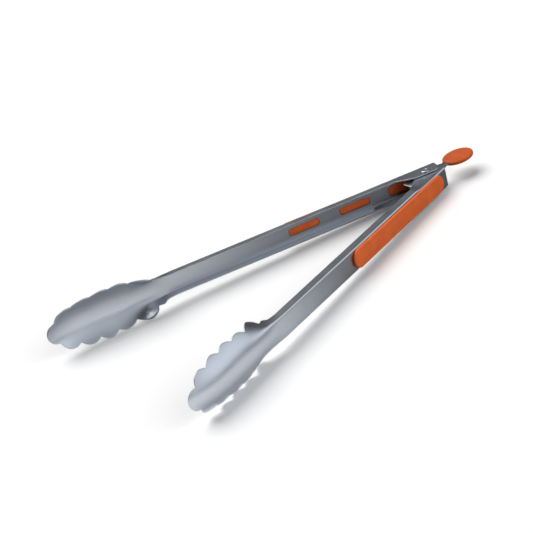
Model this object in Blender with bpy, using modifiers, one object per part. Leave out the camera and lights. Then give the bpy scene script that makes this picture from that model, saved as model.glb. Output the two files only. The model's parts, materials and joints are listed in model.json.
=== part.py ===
"""Spring-loaded kitchen tongs with a pull-tab lock, lying open on their side.

The hinge axis is +Z and the bisector of the two arms is -X. The origin is the centre of the
flat head under the hinge rivet, so every piece is built about the tongs' middle plane, which
lies MIDDLE_Z above it. Each arm has its own frame: X runs from the hinge to the tip, Y points
out through the arm's back, and Z is across the channel. Lengths are in millimetres.
"""

import math

import bmesh
import bpy
from mathutils import Matrix, Vector

MM = 0.001

# The pair of arms
OPENING_DEG = 31.2          # angle between the arms when the spring holds them open
SHEET = 1.0                 # stainless sheet
SEAT_GAP = 0.3              # gap left where two pieces touch

# One arm: a pressed channel that ends in a scalloped scoop
ARM_REAR = 11.0             # hinge axis to the rear end
ARM_WIDTH = 16.6            # across the channel, outside
ARM_BACK = 9.3              # hinge plane to the outside of the back
ARM_RIM = 3.1               # hinge plane to the channel's open rim
ARM_CORNER = 1.6            # outside corner radius
ARM_STRAIGHT = 196.0        # hinge axis to where the neck starts to open
EAR_EDGE = 3.0              # the ears reach this far past the hinge plane
EAR_REAR_ROUND = 5.0
EAR_FRONT_RIGHT = 10.5      # where the right arm's ears start to slope back
EAR_FRONT_LEFT = 13.0       # the same on the left arm
EAR_FRONT_ROUND = 1.0
EAR_SLOPE = 13.0            # length of that slope along the arm
EAR_SLOPE_ROUND = 4.0
NEST_GAP = 0.35             # between two ears, one inside the other
NEST_START = 17.0           # each arm's inside ear steps out from here ...
NEST_END = 29.0             # ... to here

# The scoop, with lengths from where the neck starts to open. A cusp between two scallops has
# its half width, and each scallop how far it bulges.
CUSPS = ((16.5, 10.6), (33.5, 14.6), (47.5, 16.3), (61.2, 15.9), (75.7, 14.2), (89.7, 8.5))
BULGES = (3.0, 2.2, 2.3, 2.6, 3.6)
SCOOP_LENGTH = 97.5         # to its tip
SCOOP_BACK = 10.0           # hinge plane to the outside of the scoop at its deepest
SCOOP_LEVEL = 54.0          # its spine is level up to here
SCOOP_TIP_DROP = 8.4        # how far the spine comes in at the tip
SCOOP_SPINE_POWER = 3.1     # how late it does
SCOOP_HALF = 18.6           # half width of the bowl at its rim, before the scallops are cut
SCOOP_WIDEN = -6.0          # the bowl widens from here ...
SCOOP_WIDEST = 49.0         # ... to here
SCOOP_CLOSE = 99.0          # and closes round the tip here
SCOOP_CLOSE_POWER = 3       # how late it does
SCOOP_SIDE_POWER = 2.2      # how flat its bottom is across
SCOOP_MOST = 1.25           # the blank is flat past this share of the bowl's half width
SCOOP_OPEN = 36.0           # the section is fully a scoop from here
RIM_NEAR = 2.2              # hinge plane to the rim's outside where the bowl starts
RIM_FAR = 0.4               # and along the rest of it
RIM_LOWERS = (29.0, 79.0)
RIM_DROP = (8.5, 18.5)      # the channel's trimmed rim runs out into the scoop's between these
RIM_DROP_ROUND = 2.0
BLANK_HALF = 21.5           # half width of the sheet before the scallops are cut
BLANK_LENGTH = 102.0

# Windows in each back, and the silicone grip moulded through them
WINDOWS = ((15.4, 8.0), (54.7, 5.6), (95.1, 5.6))   # centre along the arm, and width
WINDOW_LENGTH = 24.2
WINDOW_CORNER = 0.8         # share of its half width that its corners are rounded by
GRIP_REAR = -3.7
GRIP_FRONT = 113.5
GRIP_REAR_RADIUS = 6.6
GRIP_FRONT_RADIUS = 7.2
GRIP_THICK = 2.0
GRIP_EDGE = 0.9

# Hinge rivet, bush and spring
RIVET_RADIUS = 1.8
RIVET_HEAD_RADIUS = 3.3
RIVET_CLINCH_RADIUS = 3.1
RIVET_HEAD = 1.1
RIVET_HOLLOW_RADIUS = 1.0
RIVET_HOLLOW_DEPTH = 3.0
RIVET_ROLL = 0.4            # how far the rolled end is rounded
BUSH_WALL = 0.6
WIRE = 1.3
COIL_UNDER = 0.9            # play between the coil and the ear below it
COIL_OVER = 0.75            # and between the coil and the strip above it
COIL_PITCH = 1.45
RIGHT_LEG_REACH = 40.5
RIGHT_LEG_DROP = 0.8        # how far below the coil's low end it lies
RIGHT_LEG_BEND = 20.0       # it is level up to here along its run
RIGHT_LEG_SETTLE = 0.7      # and has come down at this share of it
LEFT_LEG_REACH = 38.0

# Lock: a slotted strip under the upper inside ear, its cross pin and its pull tab
LOCK_TRAVEL = 4.0
STRIP = 1.0
STRIP_PIN_MARGIN = 2.0      # from the pin's centre to the strip's front edge
STRIP_HALF = 5.1
STRIP_ROUND = 1.2
STRIP_NECK_PLAY = 1.0       # between its neck and the rear end of an arm
STRIP_NECK_START = 2.5
STRIP_NECK_TAPER = 3.0
STRIP_NECK_ROUND = 2.0
STRIP_TONGUE_HALF = 2.8
STRIP_TONGUE_START = 17.0
STRIP_TONGUE_TAPER = 2.0
STRIP_TONGUE_ROUND = 1.0
STRIP_END = 33.0
PIN_RADIUS = 0.85
PIN_CHAMFER = 0.2
PIN_PLACE = 16.2            # hinge axis to the pin, tab pushed in
CATCH_LIP = 1.0             # what is left under the slot that catches the pin
TAB_CENTRE = 31.4
TAB_HALF_LENGTH = 12.4
TAB_HALF_WIDTH = 9.6
TAB_THICK = 3.2
TAB_EDGE = 1.2

LEAN = math.radians(OPENING_DEG / 2)
INSIDE_EAR = ARM_WIDTH / 2 - SHEET - NEST_GAP       # middle plane to an inside ear's outer face
HOLE_RADIUS = RIVET_RADIUS + SEAT_GAP
MIDDLE_Z = ARM_WIDTH / 2 + SEAT_GAP + RIVET_HEAD
STRIP_TOP = INSIDE_EAR - SHEET - NEST_GAP
STRIP_NECK_HALF = (ARM_BACK - SHEET) * math.cos(LEAN) - ARM_REAR * math.sin(LEAN) - STRIP_NECK_PLAY
BUSH_RADIUS = HOLE_RADIUS + BUSH_WALL
COIL_RADIUS = BUSH_RADIUS + SEAT_GAP + WIRE / 2
COIL_LOW = -INSIDE_EAR + SHEET + COIL_UNDER + WIRE / 2
COIL_HIGH = STRIP_TOP - STRIP - COIL_OVER - WIRE / 2
CATCH_HALF = PIN_RADIUS + SEAT_GAP
CATCH_END = PIN_PLACE - LOCK_TRAVEL
LIP_TIP = PIN_PLACE - CATCH_HALF - SEAT_GAP
CUT_DEPTH = 40.0            # longer than anything that is cut


def clear_scene():
    for thing in list(bpy.data.objects):
        bpy.data.objects.remove(thing, do_unlink=True)


def collection(name, hidden=False):
    made = bpy.data.collections.new(name)
    made.hide_render = hidden
    bpy.context.scene.collection.children.link(made)
    return made


def material(name, colour, metallic, roughness):
    made = bpy.data.materials.new(name)
    made.use_nodes = True
    shader = made.node_tree.nodes["Principled BSDF"]
    shader.inputs["Base Color"].default_value = (*colour, 1.0)
    shader.inputs["Metallic"].default_value = metallic
    shader.inputs["Roughness"].default_value = roughness
    made.diffuse_color = (*colour, 1.0)
    return made


def smooth(value, start, end):
    """0 up to start, 1 from end, and a smooth step between."""
    share = min(1.0, max(0.0, (value - start) / (end - start)))
    return share * share * (3 - 2 * share)


def rounded(corners, steps=6):
    """The outline through (x, y, radius) corners, with an arc at each that has a radius."""
    points = []
    for place, (x, y, radius) in enumerate(corners):
        here = Vector((x, y))
        before = (Vector(corners[place - 1][:2]) - here).normalized()
        after = (Vector(corners[(place + 1) % len(corners)][:2]) - here).normalized()
        if not radius:
            points.append(here)
            continue
        half = before.angle(after) / 2
        centre = here + (before + after).normalized() * radius / math.sin(half)
        first = here + before * radius / math.tan(half) - centre
        turn = first.angle_signed(here + after * radius / math.tan(half) - centre)
        for step in range(steps + 1):
            points.append(centre + Matrix.Rotation(-turn * step / steps, 2) @ first)
    return [(point.x, point.y) for point in points]


def bulged(start, end, bulge, steps):
    """Points of the arc from start to end, start left out, that bulges to the left of its chord."""
    start, end = Vector(start), Vector(end)
    half = (end - start).length / 2
    radius = (half * half + bulge * bulge) / (2 * bulge)
    along = (end - start).normalized()
    left = Vector((-along.y, along.x))
    centre = (start + end) / 2 + left * (bulge - radius)
    sweep = 2 * math.atan2(half, radius - bulge)
    first = start - centre
    return [tuple(centre + Matrix.Rotation(-sweep * step / steps, 2) @ first)
            for step in range(1, steps + 1)]


def put(thing, parent, where, finish=None):
    where.objects.link(thing)
    thing.parent = parent
    if finish:
        thing.data.materials.append(finish)
    if where.hide_render:
        thing.hide_render = True
        thing.display_type = "WIRE"
    return thing


def mesh_object(name, shape, parent, where, finish=None):
    data = bpy.data.meshes.new(name)
    shape.to_mesh(data)
    shape.free()
    return put(bpy.data.objects.new(name, data), parent, where, finish)


def plate(name, outline, low, high, parent, where, finish=None, across=False):
    """A closed plate: outline in X and Y from low to high in Z, or with across in X and Z along Y."""
    curve = bpy.data.curves.new(name + "_outline", "CURVE")
    curve.dimensions = "2D"
    curve.fill_mode = "BOTH"
    curve.extrude = (high - low) / 2 * MM
    line = curve.splines.new("POLY")
    line.points.add(len(outline) - 1)
    for point, (x, y) in zip(line.points, outline):
        point.co = (x * MM, y * MM, 0, 1)
    line.use_cyclic_u = True
    flat = bpy.data.objects.new(name + "_outline", curve)
    bpy.context.scene.collection.objects.link(flat)
    seen = flat.evaluated_get(bpy.context.evaluated_depsgraph_get())
    data = bpy.data.meshes.new_from_object(seen)
    bpy.data.objects.remove(flat, do_unlink=True)
    shape = bmesh.new()
    shape.from_mesh(data)
    bpy.data.meshes.remove(data)
    bmesh.ops.remove_doubles(shape, verts=shape.verts, dist=1e-6)
    middle = (low + high) / 2 * MM
    if across:
        bmesh.ops.transform(shape, matrix=Matrix.Rotation(math.pi / 2, 4, "X"), verts=shape.verts)
        bmesh.ops.translate(shape, vec=(0, middle, 0), verts=shape.verts)
    else:
        bmesh.ops.translate(shape, vec=(0, 0, middle), verts=shape.verts)
    bmesh.ops.recalc_face_normals(shape, faces=shape.faces)
    return mesh_object(name, shape, parent, where, finish)


def boolean(thing, other, operation, solver="EXACT"):
    step = thing.modifiers.new(other.name, "BOOLEAN")
    step.operation = operation
    step.object = other
    step.solver = solver


def turned(name, profile, parent, where, finish, closed=False, steps=32):
    """A piece turned about Z: profile is (radius, z), run down its outer side."""
    shape = bmesh.new()
    points = [shape.verts.new((radius * MM, 0, z * MM)) for radius, z in profile]
    for first, second in zip(points, points[1:] + points[:1] if closed else points[1:]):
        shape.edges.new((first, second))
    thing = mesh_object(name, shape, parent, where, finish)
    screw = thing.modifiers.new("turn", "SCREW")
    screw.axis = "Z"
    screw.steps = steps
    screw.render_steps = steps
    screw.use_merge_vertices = True
    screw.merge_threshold = 1e-6
    screw.use_smooth_shade = True
    return thing


def half_section(half_width, steps_back=5, steps_corner=4, steps_wall=4):
    """Half of the channel's outside from the middle of its back to its edge, as (across, out)."""
    flat = half_width - ARM_CORNER
    points = [(flat * step / steps_back, ARM_BACK) for step in range(steps_back)]
    for step in range(steps_corner + 1):
        turn = math.pi / 2 * step / steps_corner
        points.append((flat + ARM_CORNER * math.sin(turn), ARM_BACK - ARM_CORNER * (1 - math.cos(turn))))
    wall = ARM_BACK - ARM_CORNER + EAR_EDGE + SHEET
    for step in range(1, steps_wall + 1):
        points.append((half_width, ARM_BACK - ARM_CORNER - wall * step / steps_wall))
    return points


def spine(past):
    """Outside of the scoop's spine: level, then curving in to the tip."""
    rise = (SCOOP_BACK - ARM_BACK) * smooth(past, 0, SCOOP_LEVEL)
    curved = max(0.0, (past - SCOOP_LEVEL) / (SCOOP_LENGTH - SCOOP_LEVEL))
    return ARM_BACK + rise - SCOOP_TIP_DROP * curved ** SCOOP_SPINE_POWER


def bowl_half(past):
    """Half width of the bowl at its rim: it widens, then closes round the tip."""
    wide = ARM_WIDTH / 2 + (SCOOP_HALF - ARM_WIDTH / 2) * smooth(past, SCOOP_WIDEN, SCOOP_WIDEST)
    closing = SCOOP_CLOSE - SCOOP_LEVEL
    closed = min((SCOOP_LENGTH - SCOOP_LEVEL) / closing, max(0.0, (past - SCOOP_LEVEL) / closing))
    return wide * math.sqrt(1 - closed ** SCOOP_CLOSE_POWER)


def bowl_out(past, across):
    """Outside of the bowl at one place, from its spine down past its rim."""
    rim = RIM_NEAR + (RIM_FAR - RIM_NEAR) * smooth(past, *RIM_LOWERS)
    share = min(SCOOP_MOST, across / bowl_half(past))
    return rim + (spine(past) - rim) * (1 - share ** SCOOP_SIDE_POWER)


def blank_half(along, half_width):
    """Half of the pressed blank's outside at one place along the arm, as (across, out)."""
    past = along - ARM_STRAIGHT
    open_share = smooth(past, 0, SCOOP_OPEN)
    channel = half_section(half_width)
    lengths = [0.0]
    for first, second in zip(channel, channel[1:]):
        lengths.append(lengths[-1] + math.dist(first, second))
    half = []
    for (across, out), length in zip(channel, lengths):
        scoop_across = BLANK_HALF * length / lengths[-1]
        scoop_out = bowl_out(past, scoop_across)
        half.append((across + (scoop_across - across) * open_share, out + (scoop_out - out) * open_share))
    return half


def arm_section(along):
    """The blank's outside from edge to edge: its +Z ear is the one that goes inside the other arm's."""
    plain = ARM_WIDTH / 2
    nested = INSIDE_EAR + (plain - INSIDE_EAR) * smooth(along, NEST_START, NEST_END)
    return [(-across, out) for across, out in reversed(blank_half(along, plain)[1:])] \
        + blank_half(along, nested)


def arm_blank(name, parent, where, finish):
    """The pressed sheet before trimming: an open loft along the arm, given its thickness."""
    stations = [-ARM_REAR - SHEET, NEST_START - SHEET]
    stations += [NEST_START + (NEST_END - NEST_START) * step / 6 for step in range(7)]
    stations += [60.0, 130.0, ARM_STRAIGHT - 6]
    step_length = 4.0
    count = round(BLANK_LENGTH / step_length)
    stations += [ARM_STRAIGHT + BLANK_LENGTH * step / count for step in range(count + 1)]
    shape = bmesh.new()
    rows = []
    for along in stations:
        rows.append([shape.verts.new((along * MM, out * MM, across * MM))
                     for across, out in arm_section(along)])
    for first, second in zip(rows, rows[1:]):
        for place in range(len(first) - 1):
            shape.faces.new((first[place], first[place + 1], second[place + 1], second[place]))
    thing = mesh_object(name, shape, parent, where, finish)
    skin = thing.modifiers.new("sheet", "SOLIDIFY")
    skin.thickness = SHEET * MM
    skin.offset = -1
    skin.use_even_offset = True
    return thing


def plan_outline():
    """What the trimming die leaves, seen from the back: the channel, then the scalloped scoop."""
    side = ARM_WIDTH / 2 + 2 * SHEET
    cusps = [(ARM_STRAIGHT + past, half) for past, half in CUSPS]
    upper = [(-ARM_REAR - 3 * SHEET, side), (cusps[0][0] - 2 * SHEET, side), cusps[0]]
    for first, second, bulge in zip(cusps, cusps[1:], BULGES):
        upper += bulged(first, second, bulge, 8)
    last = cusps[-1]
    tip = bulged(last, (last[0], -last[1]), ARM_STRAIGHT + SCOOP_LENGTH - last[0], 14)
    lower = [(x, -y) for x, y in reversed(upper)]
    return upper + tip[:-1] + lower


def side_outline(ear_front):
    """What it leaves, seen from the side: the ears, the channel's rims and the whole scoop."""
    past_end = ARM_STRAIGHT + BLANK_LENGTH + SHEET
    return rounded([
        (-ARM_REAR, CUT_DEPTH, 0),
        (-ARM_REAR, -EAR_EDGE, EAR_REAR_ROUND),
        (ear_front, -EAR_EDGE, EAR_FRONT_ROUND),
        (ear_front + EAR_SLOPE, ARM_RIM, EAR_SLOPE_ROUND),
        (ARM_STRAIGHT + RIM_DROP[0], ARM_RIM, RIM_DROP_ROUND),
        (ARM_STRAIGHT + RIM_DROP[1], -EAR_EDGE, 0),
        (past_end, -EAR_EDGE, 0),
        (past_end, CUT_DEPTH, 0),
    ])


def catch_outline():
    """What is cut from a lower ear: the slot that the pin slides in, and all below its lip."""
    bottom = -EAR_EDGE - SHEET
    lip = -CATCH_HALF - CATCH_LIP
    lip_start = CATCH_END - CATCH_HALF - SHEET
    return rounded([
        (CUT_DEPTH, bottom, 0),
        (CUT_DEPTH, CATCH_HALF, 0),
        (CATCH_END - CATCH_HALF, CATCH_HALF, PIN_RADIUS),
        (CATCH_END - CATCH_HALF, -CATCH_HALF, PIN_RADIUS),
        (LIP_TIP, -CATCH_HALF, 0),
        (LIP_TIP, lip, 0),
        (lip_start, lip, 0),
        (lip_start - SHEET, bottom, 0),
    ])


def slot_outline(start, end, half, steps=8):
    """A slot along X with round ends."""
    points = []
    for centre, turn in ((end - half, -math.pi / 2), (start + half, math.pi / 2)):
        for step in range(steps + 1):
            angle = turn + math.pi * step / steps
            points.append((centre + half * math.cos(angle), half * math.sin(angle)))
    return points


def window_outline(centre, width, less=0.0):
    """A window in the back, or with less the lug that fills it."""
    half = WINDOW_LENGTH / 2 - less
    side = width / 2 - less
    corner = side * WINDOW_CORNER
    return rounded([
        (centre - half, -side, corner), (centre + half, -side, corner),
        (centre + half, side, corner), (centre - half, side, corner),
    ])


def make_arm(name, ear_front, catch_side, parent, parts, cutters, finish):
    """One arm: the pressed blank, trimmed to its outlines, pierced for windows, rivet and catch."""
    arm = arm_blank(name, parent, parts, finish)
    plan = plate(name + "_plan", plan_outline(), -CUT_DEPTH, CUT_DEPTH, parent, cutters, across=True)
    boolean(arm, plan, "INTERSECT", "MANIFOLD")
    side = plate(name + "_side", side_outline(ear_front), -CUT_DEPTH, CUT_DEPTH, parent, cutters)
    boolean(arm, side, "INTERSECT", "MANIFOLD")
    for number, (centre, width) in enumerate(WINDOWS, 1):
        window = plate(f"{name}_window_{number}", window_outline(centre, width),
                       ARM_BACK - 3 * SHEET, ARM_BACK + SHEET, parent, cutters, across=True)
        boolean(arm, window, "DIFFERENCE", "MANIFOLD")
    hole = turned(name + "_hole", [(0, CUT_DEPTH), (HOLE_RADIUS, CUT_DEPTH), (HOLE_RADIUS, -CUT_DEPTH),
                                   (0, -CUT_DEPTH)], parent, cutters, None)
    boolean(arm, hole, "DIFFERENCE", "MANIFOLD")
    # The catch is only in the ear on this side of the arm's middle.
    low, high = sorted((0.0, catch_side * CUT_DEPTH))
    catch = plate(name + "_catch", catch_outline(), low, high, parent, cutters)
    boolean(arm, catch, "DIFFERENCE", "MANIFOLD")
    arm.data.set_sharp_from_angle(angle=math.radians(35))
    return arm


def grip_outline(steps=12):
    """The grip's long pad: two round ends of unlike radius and the lines that touch both."""
    rear = GRIP_REAR + GRIP_REAR_RADIUS
    front = GRIP_FRONT - GRIP_FRONT_RADIUS
    lean = math.asin((GRIP_FRONT_RADIUS - GRIP_REAR_RADIUS) / (front - rear))
    points = []
    for step in range(steps + 1):
        turn = (math.pi / 2 + lean) * (2 * step / steps - 1)
        points.append((front + GRIP_FRONT_RADIUS * math.cos(turn), GRIP_FRONT_RADIUS * math.sin(turn)))
    for step in range(steps + 1):
        turn = math.pi + (math.pi / 2 - lean) * (2 * step / steps - 1)
        points.append((rear + GRIP_REAR_RADIUS * math.cos(turn), GRIP_REAR_RADIUS * math.sin(turn)))
    return points


def make_grip(name, parent, parts, cutters, finish):
    """Silicone pad on the back, with a lug through each window that ends flush inside."""
    low = ARM_BACK + SEAT_GAP
    grip = plate(name, grip_outline(), low, low + GRIP_THICK, parent, parts, finish, across=True)
    edge = grip.modifiers.new("edge", "BEVEL")
    edge.width = GRIP_EDGE * MM
    edge.segments = 2
    edge.limit_method = "ANGLE"
    for number, (centre, width) in enumerate(WINDOWS, 1):
        lug = plate(f"{name}_lug_{number}", window_outline(centre, width, SEAT_GAP), ARM_BACK - SHEET,
                    low + GRIP_THICK / 2, parent, cutters, across=True)
        boolean(grip, lug, "UNION")
    return grip


def make_rivet(parent, parts, finish):
    """Semi-tubular rivet: flat head below, shank, and the rolled end above with its hollow."""
    seat = ARM_WIDTH / 2 + SEAT_GAP
    top = seat + RIVET_HEAD
    roll = RIVET_ROLL
    return turned("hinge_rivet", [
        (0, top - RIVET_HOLLOW_DEPTH),
        (RIVET_HOLLOW_RADIUS, top - RIVET_HOLLOW_DEPTH),
        (RIVET_HOLLOW_RADIUS, top - roll),
        (RIVET_HOLLOW_RADIUS + roll, top),
        (RIVET_CLINCH_RADIUS - roll, top - roll / 4),
        (RIVET_CLINCH_RADIUS, top - 1.5 * roll),
        (RIVET_CLINCH_RADIUS, seat),
        (RIVET_RADIUS, seat),
        (RIVET_RADIUS, -seat),
        (RIVET_HEAD_RADIUS, -seat),
        (RIVET_HEAD_RADIUS, -top + roll),
        (RIVET_HEAD_RADIUS - roll, -top),
        (0, -top),
    ], parent, parts, finish)


def make_bush(parent, parts, finish):
    """Spacer tube on the rivet, between the inside ears, that the spring and the strip ride on."""
    end = INSIDE_EAR - SHEET - SEAT_GAP
    return turned("hinge_bush", [(BUSH_RADIUS, end), (BUSH_RADIUS, -end), (HOLE_RADIUS, -end),
                                 (HOLE_RADIUS, end)], parent, parts, finish, closed=True)


def arm_point(along, out, side):
    """A point of an arm in the tongs' own frame: side is +1 on the right arm, -1 on the left."""
    x = -along * math.cos(LEAN) + out * math.sin(LEAN)
    y = along * math.sin(LEAN) + out * math.cos(LEAN)
    return x, side * y


def touch_angle(point, side):
    """Where on the coil's circle the straight leg that ends at point leaves it."""
    far = math.hypot(*point)
    return math.atan2(point[1], point[0]) - side * math.acos(COIL_RADIUS / far)


def make_spring(parent, parts, finish):
    """Torsion spring round the bush, a leg along the inside of each back."""
    leg_out = ARM_BACK - SHEET - SEAT_GAP - WIRE / 2
    right_end = arm_point(RIGHT_LEG_REACH, leg_out, 1)
    left_end = arm_point(LEFT_LEG_REACH, leg_out, -1)
    start = touch_angle(right_end, 1)
    finish_angle = touch_angle(left_end, -1)
    least = (start - finish_angle) % (2 * math.pi)
    whole = round((COIL_HIGH - COIL_LOW) / COIL_PITCH - least / (2 * math.pi))
    sweep = least + 2 * math.pi * whole
    per_turn = 14
    count = round(per_turn * sweep / (2 * math.pi))
    touch = Vector((COIL_RADIUS * math.cos(start), COIL_RADIUS * math.sin(start)))
    run = Vector(right_end) - touch
    bend = touch + run * RIGHT_LEG_BEND / RIGHT_LEG_REACH
    settle = touch + run * RIGHT_LEG_SETTLE
    leg_z = COIL_LOW - RIGHT_LEG_DROP
    points = [(*right_end, leg_z), (*settle, leg_z), (*bend, COIL_LOW)]
    for step in range(count + 1):
        turn = start - sweep * step / count
        z = COIL_LOW + (COIL_HIGH - COIL_LOW) * step / count
        points.append((COIL_RADIUS * math.cos(turn), COIL_RADIUS * math.sin(turn), z))
    points.append((*left_end, COIL_HIGH))
    curve = bpy.data.curves.new("hinge_spring", "CURVE")
    curve.dimensions = "3D"
    curve.bevel_depth = WIRE / 2 * MM
    curve.bevel_resolution = 2
    curve.use_fill_caps = True
    line = curve.splines.new("POLY")
    line.points.add(len(points) - 1)
    for point, place in zip(line.points, points):
        point.co = (*(value * MM for value in place), 1)
    return put(bpy.data.objects.new("hinge_spring", curve), parent, parts, finish)


def make_strip(parent, parts, cutters, finish):
    """The lock's flat strip: wide head, neck between the arms' rear ends, tongue in the tab."""
    front = -PIN_PLACE - STRIP_PIN_MARGIN
    neck = STRIP_NECK_START + STRIP_NECK_TAPER
    neck_end = STRIP_TONGUE_START - STRIP_TONGUE_TAPER
    side = [
        (STRIP_END, STRIP_TONGUE_HALF, STRIP_TONGUE_ROUND),
        (STRIP_TONGUE_START, STRIP_TONGUE_HALF, STRIP_TONGUE_ROUND),
        (neck_end, STRIP_NECK_HALF, STRIP_NECK_ROUND), (neck, STRIP_NECK_HALF, STRIP_NECK_ROUND),
        (STRIP_NECK_START, STRIP_HALF, STRIP_NECK_ROUND), (front, STRIP_HALF, STRIP_ROUND),
    ]
    outline = rounded([(x, -y, radius) for x, y, radius in reversed(side)] + side, steps=4)
    strip = plate("lock_strip", outline, STRIP_TOP - STRIP, STRIP_TOP, parent, parts, finish)
    half = BUSH_RADIUS + SEAT_GAP
    slot = plate("lock_strip_slot", slot_outline(-LOCK_TRAVEL - half, half, half), -CUT_DEPTH, CUT_DEPTH,
                 parent, cutters)
    boolean(strip, slot, "DIFFERENCE")
    hole = turned("lock_strip_hole", [(0, CUT_DEPTH), (PIN_RADIUS + SEAT_GAP, CUT_DEPTH),
                                      (PIN_RADIUS + SEAT_GAP, -CUT_DEPTH), (0, -CUT_DEPTH)],
                  parent, cutters, None)
    hole.location.x = -PIN_PLACE * MM
    boolean(strip, hole, "DIFFERENCE")
    return strip


def make_pin(parent, parts, finish):
    """Cross pin from the strip's head down to the lower outside ear."""
    top = STRIP_TOP
    low = -ARM_WIDTH / 2 + SEAT_GAP / 2
    chamfer = PIN_CHAMFER
    pin = turned("lock_pin", [(0, top), (PIN_RADIUS - chamfer, top), (PIN_RADIUS, top - chamfer),
                              (PIN_RADIUS, low + chamfer), (PIN_RADIUS - chamfer, low), (0, low)],
                 parent, parts, finish, steps=20)
    pin.location.x = -PIN_PLACE * MM
    return pin


def make_tab(parent, parts, cutters, finish):
    """Solid oval pull tab moulded over the strip's tongue."""
    count = 40
    outline = []
    for step in range(count):
        turn = 2 * math.pi * step / count
        outline.append((TAB_CENTRE + TAB_HALF_LENGTH * math.cos(turn), TAB_HALF_WIDTH * math.sin(turn)))
    middle = STRIP_TOP - STRIP / 2
    tab = plate("pull_tab", outline, middle - TAB_THICK / 2, middle + TAB_THICK / 2, parent, parts, finish)
    edge = tab.modifiers.new("edge", "BEVEL")
    edge.width = TAB_EDGE * MM
    edge.segments = 3
    edge.limit_method = "ANGLE"
    side = STRIP_TONGUE_HALF + SEAT_GAP
    mouth = TAB_CENTRE - TAB_HALF_LENGTH - TAB_EDGE
    pocket = plate("pull_tab_pocket", [(mouth, -side), (STRIP_END + SEAT_GAP, -side),
                                       (STRIP_END + SEAT_GAP, side), (mouth, side)],
                   middle - STRIP / 2 - SEAT_GAP, middle + STRIP / 2 + SEAT_GAP, parent, cutters)
    boolean(tab, pocket, "DIFFERENCE")
    return tab


def frame_empty(name, turn, where):
    """An empty on the hinge axis in the tongs' middle plane, turned as its pieces need."""
    made = bpy.data.objects.new(name, None)
    made.matrix_world = Matrix.Translation((0, 0, MIDDLE_Z * MM)) @ turn
    where.objects.link(made)
    return made


clear_scene()
tongs = collection("kitchen_tongs")
cutting = collection("cutters", hidden=True)

satin_steel = material("satin_steel", (0.50, 0.51, 0.54), 1.0, 0.34)
spring_steel = material("spring_steel", (0.42, 0.42, 0.43), 1.0, 0.28)
orange_silicone = material("orange_silicone", (0.62, 0.12, 0.03), 0.0, 0.45)

# Both arms are the same pressing. The right one lies turned over, so its frame has Z down.
turned_over = Matrix.Rotation(math.pi, 4, "X")
right_frame = frame_empty("right_arm_frame", Matrix.Rotation(math.pi - LEAN, 4, "Z") @ turned_over, tongs)
left_frame = frame_empty("left_arm_frame", Matrix.Rotation(math.pi + LEAN, 4, "Z"), tongs)
middle_frame = frame_empty("middle_frame", Matrix.Identity(4), tongs)

make_arm("right_arm", EAR_FRONT_RIGHT, 1, right_frame, tongs, cutting, satin_steel)
make_grip("right_arm_grip", right_frame, tongs, cutting, orange_silicone)
make_arm("left_arm", EAR_FRONT_LEFT, -1, left_frame, tongs, cutting, satin_steel)
make_grip("left_arm_grip", left_frame, tongs, cutting, orange_silicone)
make_rivet(middle_frame, tongs, satin_steel)
make_bush(middle_frame, tongs, satin_steel)
make_spring(middle_frame, tongs, spring_steel)
make_strip(middle_frame, tongs, cutting, satin_steel)
make_pin(middle_frame, tongs, spring_steel)
make_tab(middle_frame, tongs, cutting, orange_silicone)
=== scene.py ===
import json
import math

import bmesh
import bpy
from mathutils import Matrix, Vector


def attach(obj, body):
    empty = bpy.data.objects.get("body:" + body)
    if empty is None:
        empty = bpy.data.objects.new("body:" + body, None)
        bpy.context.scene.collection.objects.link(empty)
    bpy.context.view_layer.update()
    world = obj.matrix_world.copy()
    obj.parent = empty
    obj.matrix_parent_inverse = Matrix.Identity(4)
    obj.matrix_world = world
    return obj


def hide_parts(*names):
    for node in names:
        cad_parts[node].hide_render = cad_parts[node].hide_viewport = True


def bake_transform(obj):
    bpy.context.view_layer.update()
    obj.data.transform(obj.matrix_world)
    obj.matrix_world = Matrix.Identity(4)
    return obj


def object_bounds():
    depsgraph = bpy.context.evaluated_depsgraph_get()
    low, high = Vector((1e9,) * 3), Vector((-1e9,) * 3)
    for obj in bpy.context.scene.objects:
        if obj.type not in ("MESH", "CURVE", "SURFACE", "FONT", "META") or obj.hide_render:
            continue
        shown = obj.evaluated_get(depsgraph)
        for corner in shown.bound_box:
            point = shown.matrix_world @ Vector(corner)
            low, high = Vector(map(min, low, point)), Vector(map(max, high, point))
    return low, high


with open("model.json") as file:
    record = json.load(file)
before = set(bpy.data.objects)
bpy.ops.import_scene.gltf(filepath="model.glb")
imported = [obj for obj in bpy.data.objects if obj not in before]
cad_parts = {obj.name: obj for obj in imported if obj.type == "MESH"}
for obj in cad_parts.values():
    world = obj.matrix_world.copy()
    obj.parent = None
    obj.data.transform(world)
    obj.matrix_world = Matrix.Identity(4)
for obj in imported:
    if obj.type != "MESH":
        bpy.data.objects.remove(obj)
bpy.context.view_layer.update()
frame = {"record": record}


# ---------------------------------------------------------------------------------------------
# Right arm. One stainless pressing, 1 mm thick: a channel that opens into a scalloped scoop.
# It is blanked flat with its windows, pressed round a former, then tumbled to a satin finish
# with every cut edge rounded. One of its two ears steps inwards to lie inside the other arm's.

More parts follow.
